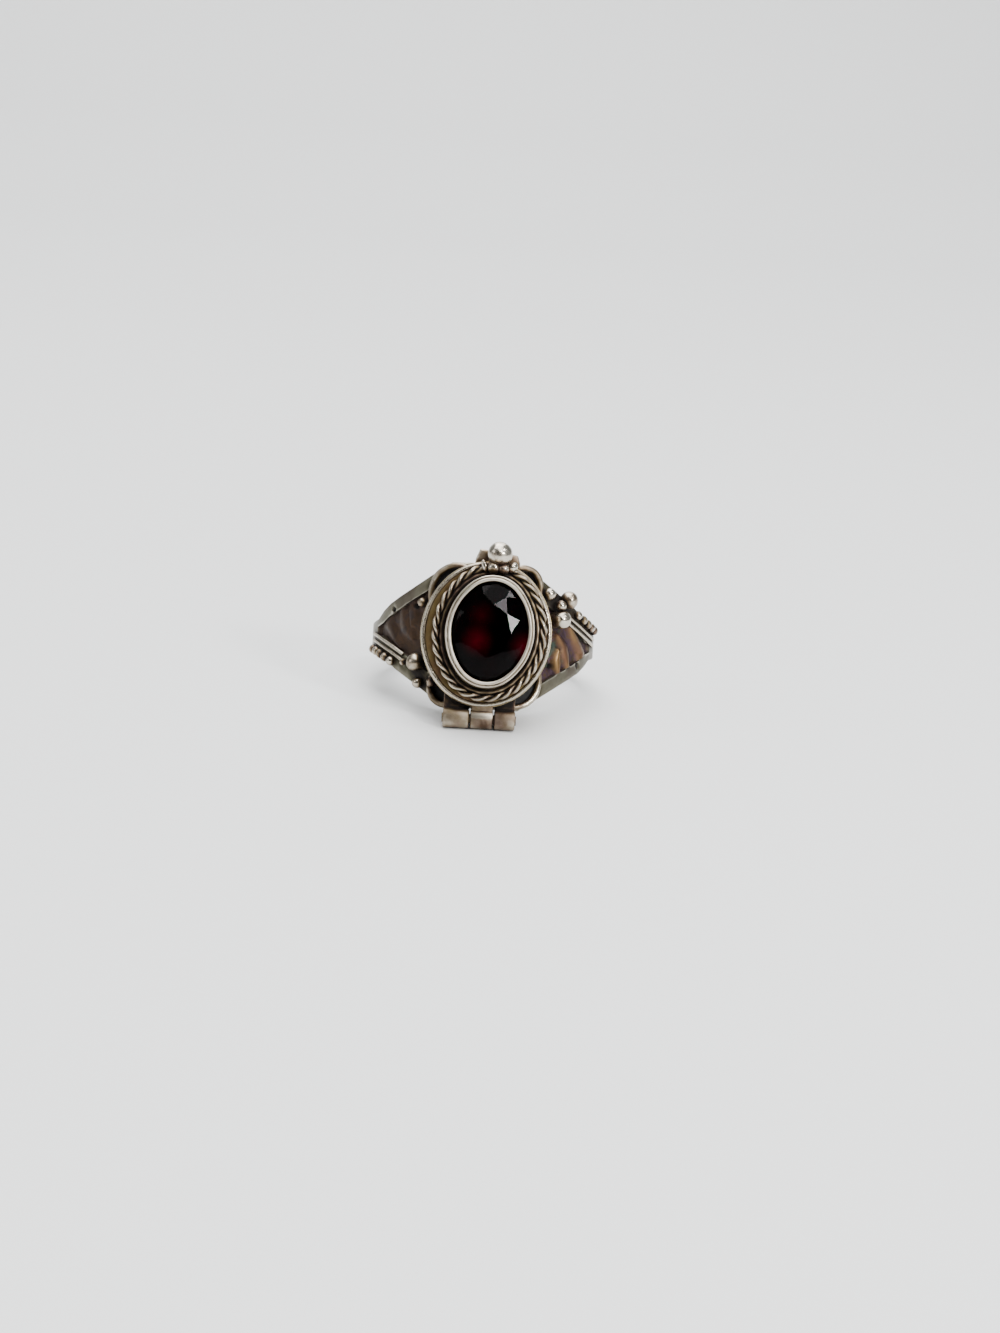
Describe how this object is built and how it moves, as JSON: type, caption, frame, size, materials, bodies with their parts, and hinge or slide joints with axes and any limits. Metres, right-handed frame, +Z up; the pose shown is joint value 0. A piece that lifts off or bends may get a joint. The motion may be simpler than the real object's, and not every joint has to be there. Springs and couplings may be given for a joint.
{
  "type": "poison ring",
  "caption": "Silver locket ring with an oval faceted stone on a hinged lid that opens over a small compartment.",
  "frame": {"origin": "centre of the finger hole, on its axis", "axes": "The ring lies on its side as it rests by itself: +Z up, +Y from the stone to the back of the band, +X to the right seen from the stone. The finger hole's axis leans 16.5 degrees from +Z towards +Y."},
  "size_m": [0.0202, 0.0271, 0.0156],
  "materials": {
    "silver_body": "worn, darkened silver",
    "silver_lid": "worn, darkened silver",
    "garnet": "polished, faceted",
    "silver_pin": "worn silver wire"
  },
  "bodies": {
    "ring": {"ring_body": "silver_body", "hinge_pin": "silver_pin"},
    "lid": {"lid": "silver_lid", "garnet": "garnet"}
  },
  "joints": [
    {"name": "lid_hinge", "type": "hinge", "parent": "ring", "child": "lid", "pos_m": [0, -0.01488, -0.00308], "axis": [1, 0, 0], "range_deg": [0, 110]}
  ]
}
